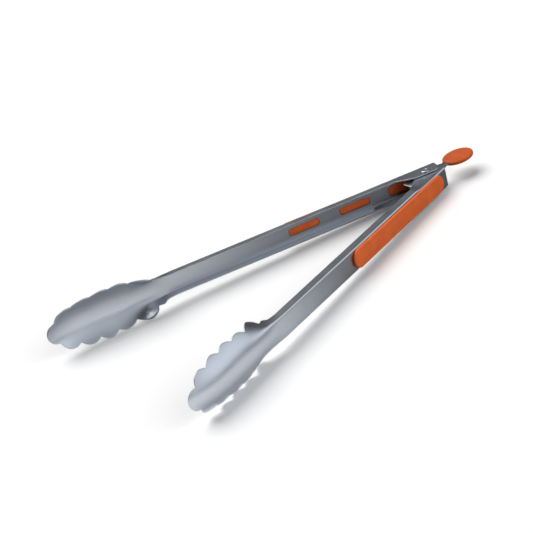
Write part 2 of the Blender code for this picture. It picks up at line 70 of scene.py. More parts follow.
MM = 0.001
SHEET = 1.0
SEAT_GAP = 0.3
NEST_GAP = 0.35
HALF_OPENING = math.radians(15.6)
ARM_REAR = -11.0
ARM_WIDTH = 16.6
ARM_BACK = 9.3
ARM_CORNER = 1.6
ARM_RIM = 3.1
EAR_EDGE = 3.0
EAR_SLOPE = 13.0
EAR_FRONT_RIGHT = 10.5
STEPS_IN = (17, 29)
BLANK_WALL = ARM_BACK - ARM_CORNER + EAR_EDGE + SHEET
BLANK_HALF = 21.5
CUSPS = ((212.5, 10.6), (229.5, 14.6), (243.5, 16.3), (257.2, 15.9), (271.7, 14.2), (285.7, 8.5))
BULGES = (3.0, 2.2, 2.3, 2.6, 3.6)
TIP = 293.5
NECK = 196.0
SCOOP_OPENS = (NECK, 232)
LINES_SPREAD = (NECK, 211)
SCOOP_LEVEL_END = 250.0
SPINE_RISE, SPINE_DROP, SPINE_POWER = 0.7, 8.4, 3.1
RIM_HIGH, RIM_DROP, RIM_LOWERS = 2.2, 1.8, (225, 275)
BOWL_HALF, BOWL_WIDENS = 18.6, (190, 245)
BOWL_CLOSES, BOWL_CLOSED, CLOSE_POWER = 45, 0.9667, 3
FLAT_PAST, SIDE_POWER = 1.25, 2.2
WINDOWS = ((15.4, 8.0), (54.7, 5.6), (95.1, 5.6))
WINDOW_LENGTH = 24.2
WINDOW_CORNER = 0.4
LAND_HALF = 3.0
EDGE_ROUND = 0.3
RIVET_HOLE = 2.1
CATCH_PLACE, CATCH_RADIUS = 12.2, 1.15
INSIDE_EAR = ARM_WIDTH / 2 - SHEET - NEST_GAP
HINGE = Vector(next(joint["pos_m"] for joint in frame["record"]["behaviour"]["joints"]
                    if joint["name"] == "arm_hinge"))


def ease(value, start, end):
    """0 up to start, 1 from end, and a smooth step between."""
    share = min(1.0, max(0.0, (value - start) / (end - start)))
    return share * share * (3 - 2 * share)


def round_corner(before, corner, after, radius, steps):
    """The arc that rounds one corner of an outline."""
    corner = Vector(corner)
    back, on = (Vector(before) - corner).normalized(), (Vector(after) - corner).normalized()
    half = back.angle(on) / 2
    centre = corner + (back + on).normalized() * radius / math.sin(half)
    first = corner + back * radius / math.tan(half) - centre
    turn = first.angle_signed(corner + on * radius / math.tan(half) - centre)
    return [tuple(centre + Matrix.Rotation(-turn * step / steps, 2) @ first)
            for step in range(steps + 1)]


def scallop(start, end, bulge, steps):
    """The arc of one scallop between two cusps, its start left out."""
    start, end = Vector(start), Vector(end)
    half = (end - start).length / 2
    radius = (half * half + bulge * bulge) / (2 * bulge)
    along = (end - start).normalized()
    left = Vector((-along.y, along.x))
    centre = (start + end) / 2 + left * (bulge - radius)
    sweep = 2 * math.atan2(half, radius - bulge)
    return [tuple(centre + Matrix.Rotation(-sweep * step / steps, 2) @ (start - centre))
            for step in range(1, steps + 1)]


def read_off(line, along):
    """The second coordinate of a line, at one place along it."""
    for (x0, y0), (x1, y1) in zip(line, line[1:]):
        if x0 <= along <= x1 and x1 > x0:
            return y0 + (y1 - y0) * (along - x0) / (x1 - x0)
    return line[-1][1] if along > line[-1][0] else line[0][1]


def scoop_edge():
    """Half the width that the trimming die leaves, all along the arm."""
    side = ARM_WIDTH / 2 + 2 * SHEET
    line = [(ARM_REAR - SHEET, side), (CUSPS[0][0] - 2 * SHEET, side), CUSPS[0]]
    for start, end, bulge in zip(CUSPS, CUSPS[1:], BULGES):
        line += scallop(start, end, bulge, 20)
    radius_tip = TIP - CUSPS[-1][0]
    tip = scallop(CUSPS[-1], (CUSPS[-1][0], -CUSPS[-1][1]), radius_tip, 60)
    return line + [point for point in tip if point[1] > 0]


def wall_edge(ear_front):
    """How far in towards the hinge plane the walls reach, all along the arm."""
    above, past = 20, TIP + 9
    corners = [(ARM_REAR, above), (ARM_REAR, -EAR_EDGE),
               (ear_front, -EAR_EDGE), (ear_front + EAR_SLOPE, ARM_RIM),
               (CUSPS[0][0] - 8, ARM_RIM), (CUSPS[0][0] + 2, -EAR_EDGE), (past, -EAR_EDGE)]
    radii = (5.0, 1.0, 4.0, 2.0, 1.0)
    line = []
    for place, radius in enumerate(radii, 1):
        line += round_corner(corners[place - 1], corners[place], corners[place + 1], radius, 10)
    return line + corners[-1:]


def half_width(along, length):
    """Half the channel's width: less on the side whose ear goes inside the other arm's."""
    plain = ARM_WIDTH / 2
    if length <= 0:
        return plain
    return INSIDE_EAR + (plain - INSIDE_EAR) * ease(along, *STEPS_IN)


def channel(length, half):
    """The channel's outside at one distance round from the middle of its back, as (across, out)."""
    flat = half - ARM_CORNER
    bend = ARM_CORNER * math.pi / 2
    if length <= flat:
        return length, ARM_BACK
    if length <= flat + bend:
        turn = (length - flat) / ARM_CORNER
        return flat + ARM_CORNER * math.sin(turn), ARM_BACK - ARM_CORNER * (1 - math.cos(turn))
    return half, ARM_BACK - ARM_CORNER - (length - flat - bend)


def scoop(along, across):
    """How far out the scoop's outside is: a level rim, and a spine that comes in at the tip."""
    past = max(0.0, (along - SCOOP_LEVEL_END) / (TIP - SCOOP_LEVEL_END))
    spine = ARM_BACK + SPINE_RISE * ease(along, NECK, SCOOP_LEVEL_END)
    spine -= SPINE_DROP * past ** SPINE_POWER
    rim = RIM_HIGH - RIM_DROP * ease(along, *RIM_LOWERS)
    wide = ARM_WIDTH / 2 + (BOWL_HALF - ARM_WIDTH / 2) * ease(along, *BOWL_WIDENS)
    closing = min(BOWL_CLOSED, max(0.0, (along - SCOOP_LEVEL_END) / BOWL_CLOSES))
    share = min(FLAT_PAST, abs(across) / (wide * math.sqrt(1 - closing ** CLOSE_POWER)))
    return rim + (spine - rim) * (1 - share ** SIDE_POWER)


def pressed(along, length):
    """A point of the arm's outside: along it, out through its back, and across."""
    half = half_width(along, length)
    across, out = channel(abs(length), half)
    opened = ease(along, *SCOOP_OPENS)
    if opened:
        around = half - ARM_CORNER + ARM_CORNER * math.pi / 2 + BLANK_WALL
        wide = BLANK_HALF * abs(length) / around
        across += (wide - across) * opened
        out += (scoop(along, wide) - out) * opened
    return Vector((along, out, math.copysign(across, length)))


def sheet_point(along, length, depth):
    """A point of the sheet at a depth under its outside."""
    step = 0.05
    ahead = pressed(along + step, length) - pressed(along - step, length)
    round_it = pressed(along, length + step) - pressed(along, length - step)
    return pressed(along, length) - round_it.cross(ahead).normalized() * depth


def stations():
    """The places along the arm where its section is taken, closer where its edge turns."""
    closest = 0.25
    places = {ARM_REAR + 5 * (1 - math.cos(math.pi / 2 * step / 8)) for step in range(9)}
    places |= {-6 + 1.5 * step for step in range(30)}
    for centre, width in WINDOWS:
        corner = width * WINDOW_CORNER
        for side in (-1, 1):
            end = centre + side * WINDOW_LENGTH / 2
            places |= {end - side * corner * (1 - math.cos(math.pi / 2 * step / 6))
                       for step in range(7)}
            places |= {end + side * gap for gap in (0.6, 1.6, 3.5)}
        places |= {centre - 6, centre, centre + 6}
    places |= {115.0 + 12 * step for step in range(7)}
    places |= {190.0 + 1.5 * step for step in range(14)}
    places |= {CUSPS[0][0] - 2 * SHEET, CUSPS[0][0] - 1, *(cusp[0] for cusp in CUSPS)}
    for (start, _), (end, _) in zip(CUSPS, CUSPS[1:]):
        places |= {start + (end - start) * (1 - math.cos(math.pi * step / 16)) / 2
                   for step in range(17)}
    places |= {TIP - (TIP - CUSPS[-1][0]) * (1 - math.sin(math.pi / 2 * step / 16))
               for step in range(16)}
    kept = []
    exact = {ARM_REAR, *(cusp[0] for cusp in CUSPS)}
    exact |= {centre + side * WINDOW_LENGTH / 2 for centre, _ in WINDOWS for side in (-1, 1)}
    for place in sorted(places):
        if kept and place - kept[-1] < closest and place < TIP - 1:
            if place in exact:
                kept[-1] = place
            continue
        kept.append(place)
    return kept


def window_half(along):
    """Half the width of the window at one place, or of the land between, and which it is."""
    fades = 4
    for centre, width in WINDOWS:
        half, corner = width / 2, width * WINDOW_CORNER
        inside = WINDOW_LENGTH / 2 - abs(along - centre)
        if inside >= corner:
            return half, True
        if inside >= -1e-6:
            return half - corner + math.sqrt(max(0.0, corner ** 2 - (corner - inside) ** 2)), True
        if inside > -fades:
            return half - corner + (LAND_HALF - half + corner) * ease(-inside, 0, fades), False
    return LAND_HALF, False


def press_arm(name, ear_front):
    """The finished pressing, in the arm's own frame: X along it, Y out, Z across, in metres."""
    plan, walls = scoop_edge(), wall_edge(ear_front)
    window_steps, flat_steps, bend_steps, wall_steps = 4, 4, 6, 12
    flat_end, bend_end = window_steps + flat_steps, window_steps + flat_steps + bend_steps
    half_steps = bend_end + wall_steps

    def edge_length(along, side):
        """How far round from the middle of the back the trimmed edge is, on one side."""
        widest, lowest = read_off(plan, along), read_off(walls, along)

        def inside(length):
            where = pressed(along, side * length)
            return abs(where.z) <= widest and where.y >= lowest

        stride = 0.25
        low, high = 0.0, stride
        while inside(high):
            low, high = high, high + stride
        for _ in range(20):
            middle = (low + high) / 2
            low, high = (middle, high) if inside(middle) else (low, middle)
        return low

    def columns(along, edge, side):
        """Where the lengthwise lines of the sheet lie on one side, from its middle to its edge."""
        flat = half_width(along, side) - ARM_CORNER
        bend = ARM_CORNER * math.pi / 2
        window = window_half(along)[0]
        fixed = []
        for step in range(half_steps + 1):
            if step <= window_steps:
                fixed.append(window * step / window_steps)
            elif step <= flat_end:
                fixed.append(window + (flat - window) * (step - window_steps) / flat_steps)
            elif step <= bend_end:
                fixed.append(flat + bend * (step - flat_end) / bend_steps)
            else:
                fixed.append(flat + bend + (edge - flat - bend) * (step - bend_end) / wall_steps)
        share = ease(along, *LINES_SPREAD)
        return [place + (edge * step / half_steps - place) * share
                for step, place in enumerate(fixed)]

    rows = stations()
    grid = []
    for along in rows:
        plain, stepped = (columns(along, edge_length(along, side), side) for side in (-1, 1))
        grid.append([(along, -length) for length in reversed(plain[1:])]
                    + [(along, length) for length in stepped])
    last, reach = rows[-1], grid[-1][-1][1]
    tip_shrink = 0.9
    grid.append([(TIP - (TIP - last) * (length / reach) ** 2, length * tip_shrink)
                 for _, length in grid[-1]])
    high, wide = len(grid), len(grid[0])

    loop = [(0, column) for column in range(wide)]
    loop += [(row, wide - 1) for row in range(1, high)]
    loop += [(high - 1, column) for column in range(wide - 2, -1, -1)]
    loop += [(row, 0) for row in range(high - 2, 0, -1)]
    outward = {}
    for place, (row, column) in enumerate(loop):
        before, after = loop[place - 1], loop[(place + 1) % len(loop)]
        here = Vector(grid[row][column])
        way = Vector((0, 0))
        for other, sign in ((before, -1), (after, 1)):
            run = (Vector(grid[other[0]][other[1]]) - here) * sign
            if run.length > 1e-6:
                way += run.normalized()
        outward[(row, column)] = Vector((-way.y, way.x)).normalized()
    if outward[(0, wide // 2)].x > 0:
        outward = {key: -value for key, value in outward.items()}

    mesh = bmesh.new()
    lines = mesh.loops.layers.uv.new("along_and_round")
    place_of = {}

    def point(along, length, depth):
        """A vertex of the sheet, with its place on the flat blank kept for the grain."""
        made = mesh.verts.new(sheet_point(along, length, depth) * MM)
        place_of[made] = (along * 0.01, length * 0.01)
        return made

    sheets = []
    for depth in (0.0, SHEET):
        made = []
        for row in range(high):
            made.append([])
            for column in range(wide):
                along, length = grid[row][column]
                if (row, column) in outward:
                    away = outward[(row, column)]
                    along, length = along - away.x * EDGE_ROUND, length - away.y * EDGE_ROUND
                made[-1].append(point(along, length, depth))
        sheets.append(made)

    windowed = []
    for row in range(len(rows) - 1):
        windowed.append(window_half(rows[row])[1] and window_half(rows[row + 1])[1]
                        and rows[row + 1] - rows[row] < WINDOW_LENGTH / 2)
    middle = wide // 2
    for flip, made in zip((False, True), sheets):
        for row in range(high - 1):
            for column in range(wide - 1):
                in_window = middle - window_steps <= column < middle + window_steps
                if row < len(windowed) and windowed[row] and in_window:
                    continue
                corners = (made[row][column], made[row][column + 1],
                           made[row + 1][column + 1], made[row + 1][column])
                mesh.faces.new(corners[::-1] if flip else corners)

    def ring(inset, depth):
        """Vertices all round the blank's edge, drawn in by an inset."""
        made = []
        for row, column in loop:
            along, length = grid[row][column]
            away = outward[(row, column)]
            made.append(point(along - away.x * inset, length - away.y * inset, depth))
        return made

    rings = [[sheets[0][row][column] for row, column in loop]]
    turns = (math.pi / 6, math.pi / 3, math.pi / 2)
    for turn in turns:
        rings.append(ring(EDGE_ROUND * (1 - math.sin(turn)), EDGE_ROUND * (1 - math.cos(turn))))
    for turn in reversed(turns):
        rings.append(ring(EDGE_ROUND * (1 - math.sin(turn)),
                          SHEET - EDGE_ROUND * (1 - math.cos(turn))))
    rings.append([sheets[1][row][column] for row, column in loop])
    for first, second in zip(rings, rings[1:]):
        for place in range(len(loop)):
            after = (place + 1) % len(loop)
            mesh.faces.new((first[place], second[place], second[after], first[after]))
    bmesh.ops.remove_doubles(mesh, verts=mesh.verts, dist=1e-8)
    open_edges = [edge for edge in mesh.edges if len(edge.link_faces) == 1]
    pairs = {}
    for row in range(high):
        for column in range(wide):
            pairs[sheets[0][row][column]] = sheets[1][row][column]
    for edge in open_edges:
        first, second = edge.verts
        if first in pairs and second in pairs:
            mesh.faces.new((first, second, pairs[second], pairs[first]))
    bmesh.ops.recalc_face_normals(mesh, faces=mesh.faces)
    for face in mesh.faces:
        face.smooth = True
        for corner in face.loops:
            corner[lines].uv = place_of[corner.vert]
    data = bpy.data.meshes.new(name)
    mesh.to_mesh(data)
    mesh.free()
    return data


def arm_placing(side):
    """From an arm's own frame to the tongs': side is +1 for the right arm, -1 for the left."""
    turn = Matrix.Rotation(math.pi - side * HALF_OPENING, 4, "Z")
    if side > 0:
        turn = turn @ Matrix.Rotation(math.pi, 4, "X")
    return Matrix.Translation(HINGE) @ turn


def satin_steel(name, grain, colour=(0.58, 0.61, 0.66)):
    """Tumbled steel: fine lines along the work, soft blotches and a fine grain."""
    made = bpy.data.materials.new(name)
    made.use_nodes = True
    nodes, links = made.node_tree.nodes, made.node_tree.links
    steel = nodes["Principled BSDF"]
    steel.inputs["Metallic"].default_value = 1.0
    place = nodes.new("ShaderNodeTexCoord")
    stretch = nodes.new("ShaderNodeMapping")
    stretch.inputs["Scale"].default_value = grain
    lines = nodes.new("ShaderNodeTexNoise")
    lines.inputs["Scale"].default_value = 1.0
    lines.inputs["Detail"].default_value = 5.0
    clouds = nodes.new("ShaderNodeTexNoise")
    clouds.inputs["Scale"].default_value = 60.0
    clouds.inputs["Detail"].default_value = 3.0
    pores = nodes.new("ShaderNodeTexNoise")
    pores.inputs["Scale"].default_value = 2600.0
    pores.inputs["Detail"].default_value = 2.0
    links.new(place.outputs["UV"], stretch.inputs["Vector"])
    links.new(stretch.outputs["Vector"], lines.inputs["Vector"])
    links.new(place.outputs["Object"], clouds.inputs["Vector"])
    links.new(place.outputs["Object"], pores.inputs["Vector"])
    blend = nodes.new("ShaderNodeMix")
    blend.inputs[0].default_value = 0.35
    links.new(lines.outputs["Fac"], blend.inputs[2])
    links.new(clouds.outputs["Fac"], blend.inputs[3])
    tone = nodes.new("ShaderNodeValToRGB")
    tone.color_ramp.elements[0].position = 0.3
    tone.color_ramp.elements[1].position = 0.7
    tone.color_ramp.elements[0].color = (*(0.9 * part for part in colour), 1)
    tone.color_ramp.elements[1].color = (*(min(1.0, 1.06 * part) for part in colour), 1)
    links.new(blend.outputs[0], tone.inputs["Fac"])
    links.new(tone.outputs["Color"], steel.inputs["Base Color"])
    rough = nodes.new("ShaderNodeMapRange")
    rough.inputs["From Min"].default_value = 0.3
    rough.inputs["From Max"].default_value = 0.7
    rough.inputs["To Min"].default_value = 0.26
    rough.inputs["To Max"].default_value = 0.38
    links.new(blend.outputs[0], rough.inputs["Value"])
    links.new(rough.outputs["Result"], steel.inputs["Roughness"])
    bump = nodes.new("ShaderNodeBump")
    bump.inputs["Strength"].default_value = 0.12
    bump.inputs["Distance"].default_value = 0.00002
    links.new(lines.outputs["Fac"], bump.inputs["Height"])
    grainy = nodes.new("ShaderNodeBump")
    grainy.inputs["Strength"].default_value = 0.1
    grainy.inputs["Distance"].default_value = 0.00001
    links.new(pores.outputs["Fac"], grainy.inputs["Height"])
    links.new(bump.outputs["Normal"], grainy.inputs["Normal"])
    links.new(grainy.outputs["Normal"], steel.inputs["Normal"])
    return made


def show(name, data, finish, body, nodes, placing=None):
    """A finished piece in the scene, in its place and on its body."""
    thing = bpy.data.objects.new(name, data)
    bpy.context.scene.collection.objects.link(thing)
    data.materials.clear()
    data.materials.append(finish)
    if placing:
        data.transform(placing)
    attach(thing, body)
    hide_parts(*nodes)
    return thing


def combined(data, others, operation="DIFFERENCE"):
    """The mesh with these closed meshes cut out of it, or joined to it."""
    thing = bpy.data.objects.new("blank", data)
    bpy.context.scene.collection.objects.link(thing)
    helpers = []
    for number, other in enumerate(others):
        helper = bpy.data.objects.new(f"tool_{number}", other)
        bpy.context.scene.collection.objects.link(helper)
        helpers.append(helper)
        step = thing.modifiers.new(helper.name, "BOOLEAN")
        step.operation = operation
        step.object = helper
        step.solver = "MANIFOLD"
    graph = bpy.context.evaluated_depsgraph_get()
    made = bpy.data.meshes.new_from_object(thing.evaluated_get(graph))
    for helper in [thing, *helpers]:
        bpy.data.objects.remove(helper, do_unlink=True)
    return made


def prism(outline, low, high):
    """A closed punch: an outline in X and Y, in millimetres, from low to high."""
    mesh = bmesh.new()
    rings = [[mesh.verts.new((x * MM, y * MM, z * MM)) for x, y in outline] for z in (low, high)]
    mesh.faces.new(rings[0][::-1])
    mesh.faces.new(rings[1])
    for place in range(len(outline)):
        after = (place + 1) % len(outline)
        mesh.faces.new((rings[0][place], rings[0][after], rings[1][after], rings[1][place]))
    bmesh.ops.recalc_face_normals(mesh, faces=mesh.faces)
    data = bpy.data.meshes.new("punch")
    mesh.to_mesh(data)
    mesh.free()
    return data


def ear_punches(side):
    """The rivet's hole through both ears, and the catch for the lock's pin in the lower one."""
    hole = [(RIVET_HOLE * math.cos(math.tau * step / 48),
             RIVET_HOLE * math.sin(math.tau * step / 48)) for step in range(48)]
    past, below = 40, -4
    catch = [(past, below), (past, CATCH_RADIUS)]
    catch += [(CATCH_PLACE - CATCH_RADIUS * math.sin(math.pi * step / 16),
               CATCH_RADIUS * math.cos(math.pi * step / 16)) for step in range(17)]
    catch += [(14.75, -CATCH_RADIUS), (14.75, -2.15), (10.05, -2.15), (9.05, below)]
    reach = 30
    low, high = (0, reach) if side > 0 else (-reach, 0)
    return [prism(hole, -reach, reach), prism(catch, low, high)]


def finish_arm(name, ear_front, side, body):
    """One arm, pressed, punched and in its place."""
    data = combined(press_arm(name, ear_front), ear_punches(side))
    data.set_sharp_from_angle(angle=math.radians(50))
    show(name, data, arm_steel, body, [body], arm_placing(side))


arm_steel = satin_steel("arm_steel", (9.0, 420.0, 1.0))
finish_arm("right_arm_pressing", EAR_FRONT_RIGHT, 1, "right_arm")


# ---------------------------------------------------------------------------------------------
# Left arm. The same pressing turned over, so that each arm has one ear inside the other's, and
# trimmed a little longer there.

EAR_FRONT_LEFT = 13.0

finish_arm("left_arm_pressing", EAR_FRONT_LEFT, -1, "left_arm")


# ---------------------------------------------------------------------------------------------
# Grips. Orange silicone, moulded on: a long pad with two round ends on each arm's back, its edge
# rounded over, and a lug through each window that ends flush inside the channel.

GRIP_REAR, GRIP_FRONT = -3.7, 113.5
GRIP_REAR_RADIUS, GRIP_FRONT_RADIUS = 6.6, 7.2
GRIP_THICK = 2.0
GRIP_EDGE = 0.9


def pad_outline(inset, steps=24):
    """The pad's outline, drawn in by an inset."""
    rear, front = GRIP_REAR + GRIP_REAR_RADIUS, GRIP_FRONT - GRIP_FRONT_RADIUS
    lean = math.asin((GRIP_FRONT_RADIUS - GRIP_REAR_RADIUS) / (front - rear))
    points = []
    for step in range(steps + 1):
        turn = (math.pi / 2 + lean) * (2 * step / steps - 1)
        radius = GRIP_FRONT_RADIUS - inset
        points.append((front + radius * math.cos(turn), radius * math.sin(turn)))
    for step in range(steps + 1):
        turn = math.pi + (math.pi / 2 - lean) * (2 * step / steps - 1)
        radius = GRIP_REAR_RADIUS - inset
        points.append((rear + radius * math.cos(turn), radius * math.sin(turn)))
    return points


def stacked(name, rings):
    """A closed mesh through a stack of like rings of 3-D points, capped at both ends."""
    mesh = bmesh.new()
    made = [[mesh.verts.new([value * MM for value in point]) for point in ring] for ring in rings]
    for first, second in zip(made, made[1:]):
        for place in range(len(first)):
            after = (place + 1) % len(first)
            mesh.faces.new((first[place], first[after], second[after], second[place]))
    mesh.faces.new(made[0][::-1])
    mesh.faces.new(made[-1])
    bmesh.ops.recalc_face_normals(mesh, faces=mesh.faces)
    for face in mesh.faces:
        face.smooth = True
    data = bpy.data.meshes.new(name)
    mesh.to_mesh(data)
    mesh.free()
    return data


def mould_grip(name):
    """Pad and lugs, in the arm's own frame."""
    low, crown = ARM_BACK + SEAT_GAP, 0.08
    rings = [(0.35, low), (0.1, low + 0.1), (0.0, low + 0.35), (0.0, low + GRIP_THICK - GRIP_EDGE)]
    for turn in (15, 30, 45, 60, 75, 90):
        turn = math.radians(turn)
        rings.append((GRIP_EDGE * (1 - math.cos(turn)),
                      low + GRIP_THICK - GRIP_EDGE * (1 - math.sin(turn)) - crown))
    rings += [(2.2, low + GRIP_THICK - crown / 2), (4.2, low + GRIP_THICK)]
    pad = stacked(name, [[(x, out, across) for x, across in pad_outline(inset)]
                         for inset, out in rings])
    inner = ARM_BACK - SHEET
    lugs = []
    for centre, width in WINDOWS:
        half, side = WINDOW_LENGTH / 2 - SEAT_GAP, width / 2 - SEAT_GAP
        corner = side * 2 * WINDOW_CORNER
        square = [(centre - half, -side), (centre + half, -side),
                  (centre + half, side), (centre - half, side)]
        outline = []
        for place in range(4):
            outline += round_corner(square[place - 1], square[place], square[(place + 1) % 4],
                                    corner, 8)
        stack = []
        for inset, out in ((0.25, inner - 0.05), (0.08, inner + 0.03), (0.0, inner + 0.2),
                           (0.0, low + 0.8)):
            stack.append([(centre + (x - centre) * (1 - inset / half), out,
                           across * (1 - inset / side)) for x, across in outline])
        lugs.append(stacked("lug", stack))
    grip = combined(pad, lugs, "UNION")
    grip.set_sharp_from_angle(angle=math.radians(50))
    return grip


def silicone(name, colour):
    """Moulded silicone: matte, with a fine spark-eroded grain and faint mottling."""
    made = bpy.data.materials.new(name)
    made.use_nodes = True
    nodes, links = made.node_tree.nodes, made.node_tree.links
    rubber = nodes["Principled BSDF"]
    rubber.inputs["Specular IOR Level"].default_value = 0.2
    place = nodes.new("ShaderNodeTexCoord")
    clouds = nodes.new("ShaderNodeTexNoise")
    clouds.inputs["Scale"].default_value = 110.0
    clouds.inputs["Detail"].default_value = 4.0
    grain = nodes.new("ShaderNodeTexNoise")
    grain.inputs["Scale"].default_value = 2200.0
    grain.inputs["Detail"].default_value = 3.0
    tone = nodes.new("ShaderNodeValToRGB")
    tone.color_ramp.elements[0].position = 0.3
    tone.color_ramp.elements[1].position = 0.72
    tone.color_ramp.elements[0].color = (*(0.9 * part for part in colour), 1)
    tone.color_ramp.elements[1].color = (*(min(1.0, 1.08 * part) for part in colour), 1)
    rough = nodes.new("ShaderNodeMapRange")
    rough.inputs["To Min"].default_value = 0.46
    rough.inputs["To Max"].default_value = 0.62
    bump = nodes.new("ShaderNodeBump")
    bump.inputs["Strength"].default_value = 0.25
    bump.inputs["Distance"].default_value = 0.00005
    links.new(place.outputs["Object"], clouds.inputs["Vector"])
    links.new(place.outputs["Object"], grain.inputs["Vector"])
    links.new(clouds.outputs["Fac"], tone.inputs["Fac"])
    links.new(tone.outputs["Color"], rubber.inputs["Base Color"])
    links.new(grain.outputs["Fac"], rough.inputs["Value"])
    links.new(rough.outputs["Result"], rubber.inputs["Roughness"])
    links.new(grain.outputs["Fac"], bump.inputs["Height"])
    links.new(bump.outputs["Normal"], rubber.inputs["Normal"])
    return made


# Painted light: the grips' copy of the silicone is lighter than the tab's, to make up for the
# weaker light that falls on the pads' sideways faces.
lightened_grip_silicone = silicone("lightened_grip_silicone", (0.74, 0.14, 0.032))
show("right_arm_pad", mould_grip("right_arm_pad"), lightened_grip_silicone,
     "right_arm", ["right_arm_grip"], arm_placing(1))
show("left_arm_pad", mould_grip("left_arm_pad"), lightened_grip_silicone,
     "left_arm", ["left_arm_grip"], arm_placing(-1))


# ---------------------------------------------------------------------------------------------
# Hinge rivet. A semi-tubular steel rivet: a flat head below, and above the hollow end of its
# shank rolled outwards into a ring round its dark bore.

EAR_SEAT = ARM_WIDTH / 2 + SEAT_GAP


def turned(name, profile, steps=64):
    """A solid turned about Z from a (radius, z) profile: from axis to axis, or a closed one."""
    mesh = bmesh.new()
    rings = []
    for radius, z in profile:
        if radius < 1e-6:
            rings.append([mesh.verts.new((0, 0, z * MM))])
        else:
            rings.append([
                mesh.verts.new((radius * MM * math.cos(math.tau * step / steps),
                                radius * MM * math.sin(math.tau * step / steps), z * MM))
                for step in range(steps)])
    closed = profile[0][0] > 1e-6
    for first, second in zip(rings, rings[1:] + (rings[:1] if closed else [])):
        for step in range(steps):
            after = (step + 1) % steps
            corners = [first[step % len(first)], first[after % len(first)],
                       second[after % len(second)], second[step % len(second)]]
            mesh.faces.new(list(dict.fromkeys(corners)))
    bmesh.ops.recalc_face_normals(mesh, faces=mesh.faces)
    for face in mesh.faces:
        face.smooth = True
    data = bpy.data.meshes.new(name)
    mesh.to_mesh(data)
    mesh.free()
    data.set_sharp_from_angle(angle=math.radians(40))
    return data


def arc(centre, radius, start, end, steps):
    """Points of an arc in a profile, angles in degrees."""
    return [(centre[0] + radius * math.cos(math.radians(start + (end - start) * step / steps)),
             centre[1] + radius * math.sin(math.radians(start + (end - start) * step / steps)))
            for step in range(steps + 1)]


RIVET_RADIUS, RIVET_HEAD_RADIUS, RIVET_CLINCH_RADIUS = 1.8, 3.2, 3.0
RIVET_HEAD, RIVET_BORE, RIVET_BORE_DEPTH = 1.1, 1.0, 3.0
rivet_top = EAR_SEAT + RIVET_HEAD
bore_end = rivet_top - RIVET_BORE_DEPTH
rivet_profile = [(0, bore_end), (RIVET_BORE - 0.15, bore_end), (RIVET_BORE, rivet_top - 2.8)]
rivet_profile += arc((1.55, rivet_top - 0.55), 0.55, 180, 90, 6)
rivet_profile += arc((2.35, rivet_top - 0.75), 0.75, 90, 0, 8)
rivet_profile += [(RIVET_CLINCH_RADIUS, EAR_SEAT), (RIVET_RADIUS, EAR_SEAT),
                  (RIVET_RADIUS, -EAR_SEAT), (RIVET_HEAD_RADIUS, -EAR_SEAT)]
rivet_profile += arc((2.9, -rivet_top + 0.4), 0.4, 0, -90, 5)
rivet_profile += [(0, -rivet_top)]
rivet_steel = satin_steel("rivet_steel", (40.0, 40.0, 40.0), (0.62, 0.62, 0.64))
show("rolled_rivet", turned("rolled_rivet", rivet_profile), rivet_steel,
     "right_arm", ["hinge_rivet"], Matrix.Translation(HINGE))


# ---------------------------------------------------------------------------------------------
# Hinge bush. A short drawn tube on the rivet between the inside ears, its ends chamfered, that
# keeps the ears apart and carries the spring.

BUSH_OUT, BUSH_IN = 2.7, 2.1
bush_end = INSIDE_EAR - SHEET - SEAT_GAP
outside, inside = 0.15, 0.1
bush_profile = [
    (BUSH_OUT, -bush_end + outside), (BUSH_OUT, bush_end - outside),
    (BUSH_OUT - outside, bush_end), (BUSH_IN + inside, bush_end),
    (BUSH_IN, bush_end - inside), (BUSH_IN, -bush_end + inside),
    (BUSH_IN + inside, -bush_end), (BUSH_OUT - outside, -bush_end)]
show("drawn_bush", turned("drawn_bush", bush_profile, 48), rivet_steel,
     "lock_guide", ["hinge_bush"], Matrix.Translation(HINGE))


# ---------------------------------------------------------------------------------------------
# Hinge spring. Hard-drawn steel wire, close coiled round the bush, with a straight leg that
# presses on the inside of each arm. Its ends are sheared square.

WIRE = 1.3
COIL_RADIUS = BUSH_OUT + SEAT_GAP + WIRE / 2
COIL_LOW, COIL_HIGH, COIL_PITCH = -4.4, 3.2, 1.45
RIGHT_LEG, LEFT_LEG, LEG_DROP = 40.5, 38.0, 0.8
LEG_STEPS, TURN_STEPS, SHORT_LEG_STEPS = 25, 40, 12


def from_arm(along, out, side):
    """A point of an arm at rest, seen from above: side is +1 on the right arm, -1 on the left."""
    x = -along * math.cos(HALF_OPENING) + out * math.sin(HALF_OPENING)
    return x, side * (along * math.sin(HALF_OPENING) + out * math.cos(HALF_OPENING))


def wire_path():
    """The wire's middle line, from the right leg's end to the left leg's."""
    leg_out = ARM_BACK - SHEET - SEAT_GAP - WIRE / 2
    right_end, left_end = from_arm(RIGHT_LEG, leg_out, 1), from_arm(LEFT_LEG, leg_out, -1)
    turns = []
    for end, side in ((right_end, 1), (left_end, -1)):
        off = math.acos(COIL_RADIUS / math.hypot(*end))
        turns.append(math.atan2(end[1], end[0]) - side * off)
    least = (turns[0] - turns[1]) % math.tau
    whole = round((COIL_HIGH - COIL_LOW) / COIL_PITCH - least / math.tau)
    sweep = least + math.tau * whole
    touch = Vector((math.cos(turns[0]), math.sin(turns[0]))) * COIL_RADIUS
    run = Vector(right_end) - touch
    path = []
    for step in range(LEG_STEPS):
        share = 1 - step / LEG_STEPS
        where = touch + run * share
        path.append((where.x, where.y, COIL_LOW - LEG_DROP * ease(share, 0.2, 0.7)))
    count = round(TURN_STEPS * sweep / math.tau)
    for step in range(count + 1):
        turn = turns[0] - sweep * step / count
        path.append((COIL_RADIUS * math.cos(turn), COIL_RADIUS * math.sin(turn),
                     COIL_LOW + (COIL_HIGH - COIL_LOW) * step / count))
    touch = Vector(path[-1][:2])
    for step in range(1, SHORT_LEG_STEPS + 1):
        where = touch + (Vector(left_end) - touch) * step / SHORT_LEG_STEPS
        path.append((where.x, where.y, COIL_HIGH))
    return [Vector(place) for place in path]


